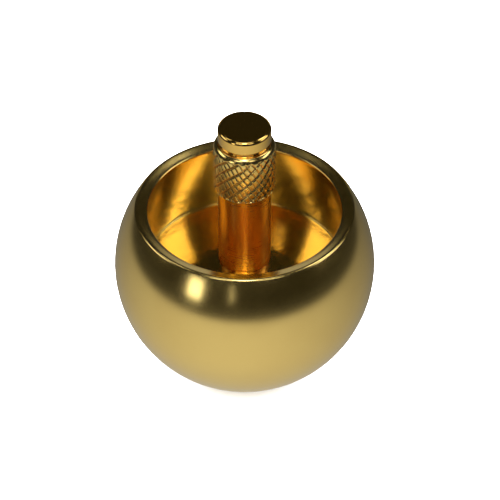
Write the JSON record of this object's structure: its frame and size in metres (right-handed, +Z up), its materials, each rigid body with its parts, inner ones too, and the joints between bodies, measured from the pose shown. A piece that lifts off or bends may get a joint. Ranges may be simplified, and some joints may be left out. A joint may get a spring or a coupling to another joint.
{
  "type": "tippe top",
  "caption": "Flip-over spinning top in gold-coloured brass: a hollowed ball body, a central stem, a knurled finger grip and a button end.",
  "frame": {"origin": "the ball's lowest point, where the top touches the table when its stem is up", "axes": "+Z up the spin axis, towards the button on the stem; X and Y are any two directions across it"},
  "size_m": [0.03, 0.03, 0.0351],
  "materials": {
    "satin_brass": "fine turned satin outside, brighter turned hollow",
    "polished_brass": "polished",
    "knurled_brass": "crossed knurl, bright crests"
  },
  "bodies": {
    "root": {"bowl": "satin_brass", "stem": "polished_brass", "knurled_grip": "knurled_brass"}
  },
  "joints": []
}
